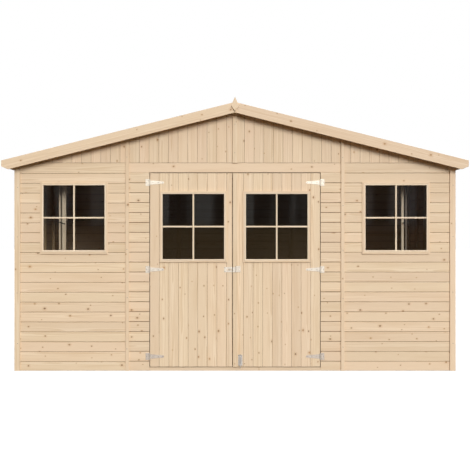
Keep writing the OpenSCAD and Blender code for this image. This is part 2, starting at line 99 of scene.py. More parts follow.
# radius and height of each ring of a screw head, as shares of the head's radius
SCREW_RINGS = ((1.0, 0.0), (0.92, 0.35), (0.62, 0.55), (0.34, 0.60), (0.26, 0.10))
RECESS_FROM = 0.4            # the rings smaller than this share of a head are its cross recess
RECESS = (1.0, 0.7, 0.45, 0.7)           # share of their radius at a quarter turn's four corners
HINGE_SCREW_R, HASP_SCREW_R, BOLT_SCREW_R = 3.6 * MM, 3 * MM, 2.6 * MM
STRAP_T, BOLT_PLATE_T = 2.5 * MM, 2 * MM
PLATE_SCREWS = ((22 * MM, 21 * MM), (22 * MM, -21 * MM), (8 * MM, 0))    # in from the edge, and up
STRAP_SCREWS = (12 * MM, 52 * MM, 98 * MM)       # from a strap's end
HASP_PLATE_SCREW = (8 * MM, 7 * MM)      # in from the edge, and from each end
HASP_HINGE_SCREW = (12 * MM, 12 * MM)
BOLT_PLATE_SCREW = (5 * MM, 4.5 * MM)

WIRE_SIDES = 8
HOOK_R = 5 * MM
HOOK_Z = 1.315               # height of a hook's middle
HOOK_STEPS = 14
HOOK_SWAY = 3 * MM
HOOK_BEFORE, HOOK_PAST = 4 * MM, 9 * MM  # how far hooks reach past a wood's middle or side
HOOK_RISES = (6 * MM, -5 * MM)           # height over HOOK_Z at the left and right hook's start

# ---------------------------------------------------------------- CAD solids


def as_mesh(bm, name):
    """Turns a bmesh into a mesh."""
    mesh = bpy.data.meshes.new(name)
    bm.to_mesh(mesh)
    bm.free()
    return mesh


def placed(name, data):
    """Makes an object and puts it in the scene."""
    made = bpy.data.objects.new(name, data)
    bpy.context.scene.collection.objects.link(made)
    return made


def ease(bm, sharp_angle, offset):
    """Rounds the edges that are sharper than an angle."""
    sharp = [e for e in bm.edges if e.calc_face_angle(0) > sharp_angle]
    bmesh.ops.bevel(bm, geom=sharp, offset=offset, segments=2, profile=0.5, affect="EDGES")


def merged(node):
    """A CAD node's mesh as a bmesh, with shared corners and whole flat faces."""
    bm = bmesh.new()
    bm.from_mesh(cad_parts[node].data)
    bmesh.ops.remove_doubles(bm, verts=bm.verts, dist=1e-6)
    bmesh.ops.dissolve_limit(bm, angle_limit=SAME_PLANE, verts=bm.verts, edges=bm.edges)
    return bm


def islands(bm):
    """The faces of each separate solid, in the mesh's own order."""
    seen, groups = set(), []
    for first in bm.faces:
        if first in seen:
            continue
        seen.add(first)
        group = [first]
        for face in group:
            for edge in face.edges:
                for other in edge.link_faces:
                    if other not in seen:
                        seen.add(other)
                        group.append(other)
        groups.append(group)
    return groups


def corners(places):
    """Lowest and highest corner of the box round some points."""
    return Vector(map(min, zip(*places))), Vector(map(max, zip(*places)))


def solids(node):
    """Lowest and highest corner of each separate solid of a CAD node."""
    bm = merged(node)
    boxes = [corners([v.co for face in group for v in face.verts]) for group in islands(bm)]
    bm.free()
    return boxes


# ---------------------------------------------------------------- boards


class Boards:
    """One mesh of separate boards. Each has a frame of its own, which its grain follows."""

    def __init__(self):
        self.bm = bmesh.new()
        self.tag = self.bm.faces.layers.int.new("board")
        self.frames = []

    def new_frame(self, centre, along, across, through):
        """Notes a board's frame with a random shift and tone for its grain. Gives its number, from 1."""
        shift = Vector((RNG.uniform(0, 30), 0, 0))
        tone = Vector((RNG.random(), RNG.random(), RNG.random()))
        self.frames.append((Vector(centre), along, across, through, shift, tone))
        return len(self.frames)

    def prism(self, profile, ends, origin, along, across, through):
        """Adds a board. Each point (across, through) of its profile runs between its own two ends."""
        rows = [[], []]
        for u, w in profile:
            for row, end in zip(rows, ends(u, w)):
                row.append(self.bm.verts.new(origin + along * end + across * u + through * w))
        start, stop = rows
        faces = [self.bm.faces.new(start[::-1]), self.bm.faces.new(stop)]
        for i in range(len(profile)):
            faces.append(self.bm.faces.new((start[i - 1], start[i], stop[i], stop[i - 1])))
        middle = sum(u for u, _ in profile) / len(profile)
        number = self.new_frame(origin + across * middle, along, across, through)
        for face in faces:
            face[self.tag] = number

    def copies(self, node, eased=EASED, start=-math.inf, stop=math.inf):
        """Adds the solids of a CAD node that lie between start and stop along X, with eased edges.

        The grain runs along each one's longest edge.
        """
        bm = merged(node)
        tag = bm.faces.layers.int.new("board")
        ease(bm, SHARP_WOOD, eased)
        bm.edges.index_update()
        left_out = []
        for group in islands(bm):
            low, high = corners([v.co for face in group for v in face.verts])
            if not start < (low.x + high.x) / 2 < stop:
                left_out += group
                continue
            edges = {edge for face in group for edge in face.edges}
            longest = max(edges, key=lambda e: (round(e.calc_length(), 5), -e.index))
            ends = sorted((v.co.copy() for v in longest.verts), key=tuple)
            along = (ends[1] - ends[0]).normalized()
            flat = [face for face in group if abs(face.normal.dot(along)) < 0.1]
            widest = max(flat, key=lambda face: round(face.calc_area(), 7))
            across = widest.normal.cross(along).normalized()
            number = self.new_frame((low + high) / 2, along, across, along.cross(across))
            for face in group:
                face[tag] = number
        bmesh.ops.delete(bm, geom=left_out, context="FACES")
        scrap = as_mesh(bm, "scrap")
        self.bm.from_mesh(scrap)
        bpy.data.meshes.remove(scrap)

    def piece(self, name, body, material, slot, *nodes, cuts=()):
        """Makes the piece, with the boxes in cuts cut out of it."""
        bmesh.ops.recalc_face_normals(self.bm, faces=self.bm.faces)
        made = add(name, as_mesh(self.bm, name), body, material, slot, *nodes)
        if cuts:
            cut(made, cuts)
        write_grain(made.data, self.frames)
        return made


def add(name, mesh, body, material, slot, *nodes):
    """Puts a mesh in the scene as a piece that rides on a body and stands for CAD nodes."""
    made = placed(name, mesh)
    made.data.materials.append(material)
    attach(made, body)
    if nodes:
        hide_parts(*nodes)
    return made


def write_grain(mesh, frames):
    """Stores each corner's place in its board's own frame, and its board's tone.

    A face that a cut has left has the number 0. Its corners are on its board's other faces too.
    """
    numbers = [row.value for row in mesh.attributes["board"].data]
    mesh.attributes.remove(mesh.attributes["board"])
    grain, tone = [0.0] * (3 * len(mesh.vertices)), [0.0] * (3 * len(mesh.vertices))
    for face, number in zip(mesh.polygons, numbers):
        if number == 0:
            continue
        centre, along, across, through, shift, shade = frames[number - 1]
        for corner in face.vertices:
            place = mesh.vertices[corner].co - centre
            local = Vector((place.dot(along), place.dot(across), place.dot(through))) + shift
            grain[3 * corner:3 * corner + 3] = local
            tone[3 * corner:3 * corner + 3] = shade
    for name, values in (("grain", grain), ("tone", tone)):
        mesh.attributes.new(name, "FLOAT_VECTOR", "POINT").data.foreach_set("vector", values)


def box_faces(bm, low, high):
    """Adds a closed box to a bmesh."""
    corner = [bm.verts.new((x, y, z)) for x in (low[0], high[0])
              for y in (low[1], high[1]) for z in (low[2], high[2])]
    for side in ((0, 1, 3, 2), (4, 6, 7, 5), (0, 4, 5, 1), (2, 3, 7, 6), (0, 2, 6, 4), (1, 5, 7, 3)):
        bm.faces.new([corner[i] for i in side])


def cut(piece, boxes):
    """Cuts boxes out of a piece's mesh."""
    bm = bmesh.new()
    for low, high in boxes:
        box_faces(bm, low, high)
    bmesh.ops.recalc_face_normals(bm, faces=bm.faces)
    mesh = as_mesh(bm, "cutter")
    cutter = placed("cutter", mesh)
    step = piece.modifiers.new("cut", "BOOLEAN")
    step.operation, step.solver, step.object = "DIFFERENCE", "EXACT", cutter
    graph = bpy.context.evaluated_depsgraph_get()
    whole = piece.data
    piece.data = bpy.data.meshes.new_from_object(piece.evaluated_get(graph), depsgraph=graph)
    piece.data.name = piece.name
    piece.modifiers.clear()
    bpy.data.objects.remove(cutter)
    bpy.data.meshes.remove(mesh)
    bpy.data.meshes.remove(whole)


def courses(low, first, pitch, high):
    """Places of the boards' edges from low to high."""
    seams, place = [low], first
    while place < high - LEAST_BOARD:
        seams.append(place)
        place += pitch
    return seams + [high]


def board_profile(low, high, tongue, groove, seam, back_chamfer):
    """Outline across a board, as points (across, through) with its face at 0."""
    gap, chamfer = seam
    left = low + (gap if groove else FIT) / 2
    right = high - (gap if tongue else FIT) / 2
    front, back = TONGUE_SPAN
    points = [(left + chamfer, 0), (right - chamfer, 0), (right, chamfer)]
    if tongue:
        points += [(right, front), (high + TONGUE, front), (high + TONGUE, back), (right, back)]
    if back_chamfer:
        points += [(right, BOARD - back_chamfer), (right - back_chamfer, BOARD),
                   (left + back_chamfer, BOARD), (left, BOARD - back_chamfer)]
    else:
        points += [(right, BOARD), (left, BOARD)]
    if groove:
        floor = low + TONGUE + GROOVE_PLAY
        front, back = front - GROOVE_PLAY, back + GROOVE_PLAY
        points += [(left, back), (floor, back), (floor, front), (left, front)]
    return points + [(left, chamfer)]


def cladding(boards, seams, ends, origin, along, across, through, seam=UPRIGHT_SEAM, back_chamfer=0):
    """Adds boards side by side. seams are the places of their edges across."""
    last = len(seams) - 2
    for i, (low, high) in enumerate(zip(seams, seams[1:])):
        profile = board_profile(low, high, i < last, i > 0, seam, back_chamfer)
        settled = origin + through * RNG.uniform(0, SETTLE)
        boards.prism(profile, ends, settled, along, across, through)


def level(start, stop):
    """Ends of boards that are cut square."""
    return lambda u, w: (start + FIT / 2, stop - FIT / 2)


# ---------------------------------------------------------------- places from the frame

panel_low, panel_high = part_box("front_wall_right")
gable_low, gable_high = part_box("front_gable")
_, ridge_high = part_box("ridge_beam")
roof_low, roof_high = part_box("roof_right")
_, side_wall_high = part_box("left_wall")

FACE = -panel_low.y                # outer face of the front and back boards
SIDE = panel_high.x                # outer face of the side boards
JOINT = panel_low.x                # joint between two wall panels
GABLE_LINE = gable_low.z
SLANT = math.hypot(1, ROOF_SLOPE)


def under_roof(x):
    """Height of what reaches up to the roof boards."""
    return gable_high.z + ROOF_SLOPE * (ridge_high.x - abs(x))


def panes(node):
    """The glass that shows of each pane of a node: lowest and highest corner."""
    lap = Vector((GLASS_LAP, 0, GLASS_LAP))
    return [(low + lap, high - lap) for low, high in solids(node)]


def opening(pane):
    """The cut through the boards behind a pane."""
    low, high = pane
    lap = GLASS_LAP + FIT
    return (low.x - lap, low.y - BOARD, low.z - lap), (high.x + lap, low.y + 2 * BOARD, high.z + lap)


# ---------------------------------------------------------------- materials


def linear(code):
    """A colour written as #rrggbb, for a shader."""
    parts = [int(code[i:i + 2], 16) / 255 for i in (1, 3, 5)]
    return tuple(c / 12.92 if c <= 0.04045 else ((c + 0.055) / 1.055) ** 2.4 for c in parts) + (1.0,)


class Graph:
    """Short calls that build a material's or a world's nodes."""

    def __init__(self, owner):
        owner.use_nodes = True
        self.tree = owner.node_tree
        self.tree.nodes.clear()

    def node(self, kind, inputs=None, **settings):
        made = self.tree.nodes.new("ShaderNode" + kind)
        for key, value in settings.items():
            setattr(made, key, value)
        for key, value in (inputs or {}).items():
            if isinstance(value, bpy.types.NodeSocket):
                self.tree.links.new(value, made.inputs[key])
            else:
                made.inputs[key].default_value = value
        return made

    def math(self, operation, *values):
        return self.node("Math", dict(enumerate(values)), operation=operation).outputs[0]

    def add(self, *values):
        total = values[0]
        for value in values[1:]:
            total = self.math("ADD", total, value)
        return total

    def times(self, a, b):
        return self.math("MULTIPLY", a, b)

    def less(self, a, b):
        return self.math("SUBTRACT", a, b)

    def split(self, vector):
        return self.node("SeparateXYZ", {0: vector}).outputs[:]

    def join(self, x, y, z):
        return self.node("CombineXYZ", {0: x, 1: y, 2: z}).outputs[0]

    def ramp(self, value, low, high, to_low=0.0, to_high=1.0):
        """A smooth step from to_low at low to to_high at high."""
        inputs = {0: value, 1: low, 2: high, 3: to_low, 4: to_high}
        return self.node("MapRange", inputs, interpolation_type="SMOOTHSTEP").outputs[0]

    def noise(self, vector, scale=1.0, detail=2.0, roughness=0.5):
        inputs = {"Vector": vector, "Scale": scale, "Detail": detail, "Roughness": roughness}
        return self.node("TexNoise", inputs).outputs["Fac"]

    def mix(self, factor, a, b, blend="MIX"):
        made = self.node("Mix", {0: factor, 6: a, 7: b}, data_type="RGBA", blend_type=blend)
        return made.outputs[2]

    def output(self, shader):
        kind = "OutputWorld" if isinstance(self.tree.id_data, bpy.types.World) else "OutputMaterial"
        self.node(kind, {"Surface": shader})


WHITE = (1, 1, 1, 1)
STREAKS = (18.7, 0.0, 0.0)              # shift of the glass's streaks of painted reflection
GREY_HEIGHTS = (1.22, 1.34)             # where the glass turns from warm to the grey of its painted reflection, in metres
KNOT_STEP, KNOT_BAND = 0.21, 0.062      # size of the cells that may hold a knot, in metres
TINTS = ((0.995, 0.963, 0.93, 1.0), (0.983, 0.977, 0.922, 1.0))         # between these, board by board
KNOT_RIM = linear("#b98a58")
KNOT_HEARTS = linear("#a97c4c"), linear("#5e4128")
# painted shade for the gaps between the boards
GROOVE_SHADE_COLOUR = linear("#5a370f")


def knot_marks(g, u, v, shift, knots):
    """Knots, in cells of their own. Gives each place's heart, rim, darkness and way across."""
    wobble = g.times(g.less(g.noise(g.join(g.times(u, 45), g.times(v, 45), shift)), 0.5), 0.0035)
    cell = g.join(g.times(g.add(u, wobble), 1 / KNOT_STEP),
                  g.times(g.add(v, wobble, shift), 1 / KNOT_BAND), 0.0)
    cells = g.node("TexVoronoi", {"Vector": cell, "Scale": 1.0, "Randomness": 0.85},
                   voronoi_dimensions="2D", feature="F1")
    keep, size, dark = g.node("SeparateColor", {0: cells.outputs["Color"]}).outputs[:]
    away = g.node("VectorMath", {0: cell, 1: cells.outputs["Position"]}, operation="SUBTRACT").outputs[0]
    du, dv, _ = g.split(away)
    du, dv = g.times(du, KNOT_STEP), g.times(dv, KNOT_BAND)
    reach = g.math("SQRT", g.add(g.times(g.times(du, du), 0.6), g.times(dv, dv)))
    radius = g.add(0.0026, g.times(g.times(size, size), 0.0048))
    far = g.math("DIVIDE", reach, radius)
    kept = g.math("LESS_THAN", keep, knots)
    core = g.times(g.ramp(far, 1.2, 0.75), kept)
    halo = g.times(g.ramp(far, 3.6, 0.8), kept)
    return core, halo, dark, dv


def growth_rings(g, grain, tones, halo, dv):
    """Late wood of rings round a pith that wanders. The rings part round the knots."""
    u, v, w = grain
    t1, t2, t3 = tones
    bent = g.less(v, g.times(g.times(dv, halo), 0.8))
    slow = g.times(u, 0.8)
    pith_v = g.add(g.times(g.less(t2, 0.5), 0.10), g.times(g.noise(g.join(slow, t3, 0.0)), 0.03))
    pith_w = g.add(0.012, g.times(t1, 0.05), g.times(g.noise(g.join(slow, 7.0, t2)), 0.02))
    rv, rw = g.less(bent, pith_v), g.add(w, pith_w)
    radial = g.math("SQRT", g.add(g.times(rv, rv), g.times(rw, rw)))
    ripple = g.noise(g.join(g.times(u, 2.2), g.times(v, 30), g.times(w, 30)))
    year = g.math("FRACT", g.add(g.times(radial, 210), g.times(ripple, 1.1), g.times(t3, 9)))
    return g.times(g.ramp(year, 0.25, 0.86), g.ramp(year, 1.0, 0.93))


def wood(name, pale, late, knots=0.5, ring=0.45, rough=0.56, shaded_grooves=False):
    """Planed spruce: growth rings, fibres, knots, and a tone for each board.

    The wood can be darker at the tongues: painted shade in the gaps between the boards.
    """
    material = bpy.data.materials.new(name)
    g = Graph(material)
    grain = g.split(g.node("Attribute", attribute_name="grain").outputs["Vector"])
    tones = g.split(g.node("Attribute", attribute_name="tone").outputs["Vector"])
    u, v, w = grain
    t1, t2, t3 = tones
    core, halo, dark, dv = knot_marks(g, u, v, t1, knots)
    late_wood = growth_rings(g, grain, tones, halo, dv)
    fibre = g.noise(g.join(g.times(u, 9), g.times(v, 650), g.times(w, 650)), detail=3.0)
    cloud = g.noise(g.join(g.times(u, 1.6), g.times(v, 16), g.add(g.times(w, 16), g.times(t2, 5))))

    colour = g.mix(g.times(late_wood, ring), pale, late)
    colour = g.mix(g.ramp(fibre, 0.35, 0.75, 0.0, 0.22), colour, late)
    colour = g.mix(g.ramp(cloud, 0.45, 0.75, 0.0, 0.28), colour, late)
    tint = g.mix(t1, *TINTS)
    colour = g.mix(1.0, colour, tint, "MULTIPLY")
    shade = g.add(0.94, g.times(t3, 0.08))
    colour = g.mix(1.0, colour, g.join(shade, shade, shade), "MULTIPLY")
    colour = g.mix(g.times(halo, 0.3), colour, KNOT_RIM)
    heart = g.mix(dark, *KNOT_HEARTS)
    colour = g.mix(g.times(core, 0.8), colour, heart)
    if shaded_grooves:
        # painted shade in the gaps between the boards, darkest at the tongues
        groove_shade_mask = g.times(g.ramp(w, 0.0038, 0.0054, 0.0, 0.97), g.ramp(w, 0.013, 0.011))
        colour = g.mix(groove_shade_mask, colour, GROOVE_SHADE_COLOUR)

    height = g.less(g.add(g.times(late_wood, 0.35), g.times(fibre, 0.8)), g.times(core, 0.5))
    bump = g.node("Bump", {"Strength": 0.35, "Distance": 0.0005, "Height": height}).outputs[0]
    roughness = g.add(rough, g.times(g.less(fibre, 0.5), 0.16), g.times(late_wood, -0.06))
    shader = g.node("BsdfPrincipled", {"Base Color": colour, "Roughness": roughness, "Normal": bump,
                                       "Specular IOR Level": 0.3})
    g.output(shader.outputs[0])
    return material


def galvanized(name, pale, dark):
    """Zinc-coated steel: faint crystals, a slight haze, a soft gloss, and darker towards the ground as a
    painted reflection.
    """
    material = bpy.data.materials.new(name)
    g = Graph(material)
    place = g.node("TexCoord").outputs["Object"]
    crystals = g.node("TexVoronoi", {"Vector": place, "Scale": 260.0}, feature="F1")
    crystal = g.node("SeparateColor", {0: crystals.outputs["Color"]}).outputs[0]
    haze = g.noise(place, 60.0, 4.0)
    scratch = g.noise(g.node("Mapping", {0: place, 3: (60, 60, 900)}).outputs[0], 1.0, 3.0)
    # painted reflection: darker towards the ground
    reflection_fade = g.ramp(g.split(place)[2], 1.5, 0.2, 0.0, 0.55)
    colour = g.mix(g.add(g.times(crystal, 0.14), g.times(haze, 0.3), reflection_fade), pale, dark)
    roughness = g.add(0.42, g.times(crystal, 0.12), g.times(haze, 0.16))
    bump = g.node("Bump", {"Strength": 0.12, "Distance": 0.0002, "Height": scratch}).outputs[0]
    shader = g.node("BsdfPrincipled", {"Base Color": colour, "Metallic": 0.75, "Roughness": roughness,
                                       "Normal": bump})
    g.output(shader.outputs[0])
    return material


def glass(name, alpha, shine, dark, warm, grey):
    """Window glass before a dark room. Its dark tint is partly painted shade of the room behind; upright
    streaks of grey higher up are painted reflections, and lower down it turns warmer.
    """
    material = bpy.data.materials.new(name)
    g = Graph(material)
    place = g.node("TexCoord").outputs["Object"]
    streaks = g.noise(g.node("Mapping", {0: place, 1: STREAKS, 3: (5.5, 1, 0.25)}).outputs[0], 1.0, 2.0)
    reflection_streak = g.ramp(streaks, 0.44, 0.58)
    high = g.ramp(g.split(place)[2], *GREY_HEIGHTS)
    # the grey streaks higher up are painted reflection
    colour = g.mix(high, warm, g.mix(reflection_streak, dark, grey))
    roughness = g.ramp(streaks, 0.3, 0.7, 0.02, 0.06)
    shader = g.node("BsdfPrincipled", {"Base Color": colour, "Roughness": roughness, "IOR": 1.5,
                                       "Specular IOR Level": shine, "Alpha": alpha})
    g.output(shader.outputs[0])
    return material


def iron(name):
    """Black iron wire."""
    material = bpy.data.materials.new(name)
    g = Graph(material)
    place = g.node("TexCoord").outputs["Object"]
    rust = g.noise(place, 300.0, 4.0)
    colour = g.mix(rust, linear("#17130f"), linear("#2b2119"))
    shader = g.node("BsdfPrincipled", {"Base Color": colour, "Metallic": 0.4,
                                       "Roughness": g.ramp(rust, 0.2, 0.8, 0.45, 0.7)})
    g.output(shader.outputs[0])
    return material


PALE, LATE = linear("#e9d4ba"), linear("#ceaf89")
WALL_WOOD = wood("wall_wood", PALE, LATE, shaded_grooves=True)
DOOR_WOOD = wood("door_wood", linear("#ead5bb"), LATE, shaded_grooves=True)
ROOF_WOOD = wood("roof_wood", PALE, LATE)
DECK_WOOD = wood("deck_wood", PALE, LATE, knots=0.36, shaded_grooves=True)
TRIM_WOOD = wood("trim_wood", linear("#ebd6bc"), LATE, knots=0.22)
BEAD_WOOD = wood("bead_wood", linear("#f0e0ca"), linear("#dcc2a0"), knots=0.05)
FRAME_WOOD = wood("frame_wood", linear("#dcc4a0"), linear("#b8935f"), knots=0.4, rough=0.68)
FLOOR_WOOD = wood("floor_wood", linear("#dfc9a8"), linear("#bd9867"), knots=0.45, shaded_grooves=True)
# a paler copy of the frame wood: painted light on the posts and laths behind the windows
LIT_POST_WOOD = wood("lit_post_wood", linear("#eadcc5"), linear("#d3b78f"), knots=0.2)
# a dark grey copy: painted shade on the lath furthest to the right
SHADED_LATH_WOOD = wood("shaded_lath_wood", linear("#73685a"), linear("#564b3f"), knots=0.2)
BEARER_WOOD = wood("bearer_wood", linear("#dfc9a8"), linear("#bd9867"), knots=0.45)
STEEL = galvanized("galvanized_steel", linear("#c9c1b2"), linear("#938880"))
BOLT_STEEL = galvanized("bolt_steel", linear("#c9c3bc"), linear("#8f8983"))
SCREW = galvanized("screw_steel", linear("#a39d93"), linear("#6d6760"))
# The glass's dark tint is partly painted shade of the room behind. The doors' glass, which lets less
# through, paints more of it.
GLASS = glass("window_glass", 0.13, 0.2, linear("#19140f"), linear("#443524"), linear("#484746"))
DOOR_GLASS = glass("door_glass", 0.6, 0.05, linear("#15100c"), linear("#312718"), linear("#343331"))
IRON = iron("black_iron")

# ---------------------------------------------------------------- walls


def front_walls():
    origin = Vector((0, -FACE, 0))
    windows = panes("window_glass")
    for node, start, stop, first in (("front_wall_left", -SIDE, -JOINT, WALL_FIRST),
                                     ("front_wall_right", JOINT, SIDE, RIGHT_FIRST)):
        seams = courses(0, first, WALL_COURSE, panel_high.z)
        boards = Boards()
        cladding(boards, seams, level(start, stop), origin, X, Z, Y, LEVEL_SEAM)
        cuts = [opening(pane) for pane in windows if start < pane[0].x < stop]
        boards.piece(node + "_boards", "shed", WALL_WOOD, "wall_wood", node, cuts=cuts)


def door_surround():
    origin = Vector((0, -FACE, 0))
    boards = Boards()
    for low, high in solids("door_side_panels"):
        seams = courses(0, SIDE_FIRST, WALL_COURSE, high.z)
        cladding(boards, seams, level(low.x, high.x), origin, X, Z, Y, WIDE_SEAM)
    boards.piece("door_side_boards", "shed", WALL_WOOD, "wall_wood", "door_side_panels")
    low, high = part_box("door_header")
    boards = Boards()
    cladding(boards, [low.z, high.z], level(low.x, high.x), origin, X, Z, Y)
    boards.piece("door_header_board", "shed", WALL_WOOD, "wall_wood", "door_header")


def back_wall():
    seams = courses(0, WALL_FIRST, WALL_COURSE, panel_high.z)
    boards = Boards()
    for start, stop in ((-SIDE, -JOINT), (-JOINT, JOINT), (JOINT, SIDE)):
        cladding(boards, seams, level(start, stop), Vector((0, FACE, 0)), X, Z, -Y, LEVEL_SEAM)
    boards.piece("back_wall_boards", "shed", WALL_WOOD, "wall_wood", "back_wall")


def side_walls():
    seams = courses(0, WALL_FIRST, WALL_COURSE, under_roof(SIDE))
    half = side_wall_high.y
    for node, side in (("left_wall", -1), ("right_wall", 1)):
        boards = Boards()
        for start, stop in ((-half, 0), (0, half)):
            origin = Vector((side * SIDE, 0, 0))
            cladding(boards, seams, level(start, stop), origin, Y, Z, -side * X, LEVEL_SEAM)
        boards.piece(node + "_boards", "shed", WALL_WOOD, "wall_wood", node)


def gables():
    """Upright boards over the gable line, cut round the ridge beam and the purlins."""
    left = [-place for place in courses(0, *GABLE_LEFT, SIDE)][::-1]
    right = courses(0, *GABLE_RIGHT, SIDE)
    cuts = [((low.x - FIT, -CUT_DEPTH, low.z - FIT), (high.x + FIT, CUT_DEPTH, high.z + CUT_RISE))
            for node in ("ridge_beam", "purlins") for low, high in solids(node)]
    for node, side in (("front_gable", -1), ("back_gable", 1)):
        boards = Boards()
        for seams in (left, right):
            cladding(boards, seams, lambda u, w: (GABLE_LINE + LEVEL_SEAM[0], under_roof(u)),
                     Vector((0, side * FACE, 0)), Z, X, -side * Y)
        boards.piece(node + "_boards", "shed", WALL_WOOD, "wall_wood", node, cuts=cuts)


# ---------------------------------------------------------------- roof and floor


def roof():
    """Boards from the ridge down to the eaves."""
    seams = courses(roof_low.y, roof_low.y + ROOF_COURSE, ROOF_COURSE, roof_high.y)
    for node, side in (("roof_left", -1), ("roof_right", 1)):
        along = Vector((side, 0, -ROOF_SLOPE)) / SLANT
        through = Vector((-side * ROOF_SLOPE, 0, -1)) / SLANT

        def ends(u, w):
            return w * ROOF_SLOPE, roof_high.x * SLANT + w * ROOF_SLOPE

        boards = Boards()
        cladding(boards, seams, ends, Vector((0, 0, roof_high.z)), along, Y, through, LEVEL_SEAM,
                 BACK_CHAMFER)
        boards.piece(node + "_boards", "shed", DECK_WOOD, "roof_wood", node)


def floor_boards():
    low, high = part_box("floor_boards")
    seams = courses(low.x, low.x + FLOOR_COURSE, FLOOR_COURSE, high.x)
    boards = Boards()
    cladding(boards, seams, level(low.y, high.y), Vector((0, 0, high.z)), Y, X, -Z, LEVEL_SEAM)
    boards.piece("floor_board_rows", "shed", FLOOR_WOOD, "floor_wood", "floor_boards")


# ---------------------------------------------------------------- frame and trims

TIMBER = (
    ("wall_battens", "shed", TRIM_WOOD, "trim_wood"),
    ("corner_trims", "shed", TRIM_WOOD, "trim_wood"),
    ("ridge_finials", "shed", TRIM_WOOD, "trim_wood"),
    ("door_cover_strip", "right_door", TRIM_WOOD, "trim_wood"),
    ("front_barge_boards", "shed", ROOF_WOOD, "roof_wood"),
    ("back_barge_boards", "shed", ROOF_WOOD, "roof_wood"),
    ("eave_boards", "shed", ROOF_WOOD, "roof_wood"),
    ("wall_studs", "shed", FRAME_WOOD, "frame_wood"),
    ("wall_plates", "shed", FRAME_WOOD, "frame_wood"),
    ("window_rails", "shed", FRAME_WOOD, "frame_wood"),
    ("gable_rafters", "shed", FRAME_WOOD, "frame_wood"),
    ("ridge_beam", "shed", FRAME_WOOD, "frame_wood"),
    ("purlins", "shed", FRAME_WOOD, "frame_wood"),
    ("floor_bearers", "shed", BEARER_WOOD, "floor_wood"),
    ("door_sill", "shed", ROOF_WOOD, "floor_wood"),
    ("left_door_ledges", "left_door", FRAME_WOOD, "frame_wood"),
    ("right_door_ledges", "right_door", FRAME_WOOD, "frame_wood"),
)


def timber():
    for node, body, material, slot in TIMBER:
        boards = Boards()
        boards.copies(node, GEM_EDGE if node == "ridge_finials" else EASED)
        boards.piece(node + "_timber", body, material, slot, node)


def posts():
    """The posts and laths behind the front windows, in a paler wood as painted light. The lath furthest to
    the right is in a dark grey wood as painted shade.
    """
    last = max(low.x for low, _ in solids("purlin_posts"))
    boards = Boards()
    boards.copies("purlin_posts", stop=last)
    boards.piece("purlin_posts_timber", "shed", LIT_POST_WOOD, "frame_wood", "purlin_posts")
    boards = Boards()
    boards.copies("purlin_posts", start=last)
    boards.piece("shaded_lath", "shed", SHADED_LATH_WOOD, "frame_wood")


# ---------------------------------------------------------------- doors and windows


def doors():
    """Upright boards, counted from the hinges."""
    for node, side in (("left_door", -1), ("right_door", 1)):
        low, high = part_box(node)
        edge = max(abs(low.x), abs(high.x)) + HINGE_SETBACK
        whole = math.floor((edge - min(abs(low.x), abs(high.x))) / DOOR_COURSE)
        seams = [side * (edge - k * DOOR_COURSE) for k in range(1, whole + 1)]
        seams = sorted([low.x, high.x] + [seam for seam in seams if low.x < seam - LEAST_BOARD])
        boards = Boards()
        cladding(boards, seams, level(low.z, high.z), Vector((0, -FACE, 0)), Z, X, Y)
        cuts = [opening(pane) for pane in panes(node + "_glass")]
        boards.piece(node + "_boards", node, DOOR_WOOD, "door_wood", node, cuts=cuts)


def strip_profile(low, high, depth, eased):
    """Outline of a strip with two eased front edges, as points (across, through)."""
    return [(low + eased, 0), (high - eased, 0), (high, eased), (high, depth), (low, depth), (low, eased)]


def casing(boards, pane, outer):
    """Four boards round a pane, with the stiles running past the rails."""
    (x0, _, z0), (x1, _, z1) = pane
    (ox0, front, oz0), (ox1, back, oz1) = outer
    origin = Vector((0, front + BEAD_BACK, 0))
    depth = back - front - BEAD_BACK
    for low, high in ((ox0, x0 - BEAD), (x1 + BEAD, ox1)):
        boards.prism(strip_profile(low, high, depth, EASED), level(oz0, oz1), origin, Z, X, Y)
    for low, high in ((oz0, z0 - BEAD), (z1 + BEAD, oz1)):
        boards.prism(strip_profile(low, high, depth, EASED), level(x0 - BEAD, x1 + BEAD), origin, X, Z, Y)


def bead(boards, pane, outer):
    """Four mitred strips with a rounded inner edge."""
    (x0, _, z0), (x1, _, z1) = pane
    front, back = outer[0].y, outer[1].y
    depth = back - front
    turn = [math.radians(a) for a in (0, 22.5, 45, 67.5, 90)]
    nose = [(NOSE_R - NOSE_R * math.cos(a), NOSE_R - NOSE_R * math.sin(a)) for a in turn]
    profile = nose + [(BEAD - EASED, 0), (BEAD - FIT, EASED), (BEAD - FIT, depth), (0, depth)]
    sides = ((x0, -1, z0, z1, X, Z), (x1, 1, z0, z1, X, Z), (z0, -1, x0, x1, Z, X), (z1, 1, x0, x1, Z, X))
    for edge, out, start, stop, across, along in sides:
        def ends(u, w, start=start, stop=stop):
            return start - u + FIT / 2, stop + u - FIT / 2
        origin = Vector((0, front, 0)) + across * edge
        boards.prism(profile, ends, origin, along, across * out, Y)


def glazing_bars(boards, pane, front):
    """An upright bar and two level ones, which meet it in the middle."""
    (x0, _, z0), (x1, _, z1) = pane
    x, z = (x0 + x1) / 2, (z0 + z1) / 2
    origin = Vector((0, front, 0))
    half = BAR / 2
    boards.prism(strip_profile(x - half, x + half, BAR_T, 2 * EASED), level(z0, z1), origin, Z, X, Y)
    for start, stop in ((x0, x - half), (x + half, x1)):
        profile = strip_profile(z - half, z + half, BAR_T, 2 * EASED)
        boards.prism(profile, level(start, stop), origin, X, Z, Y)


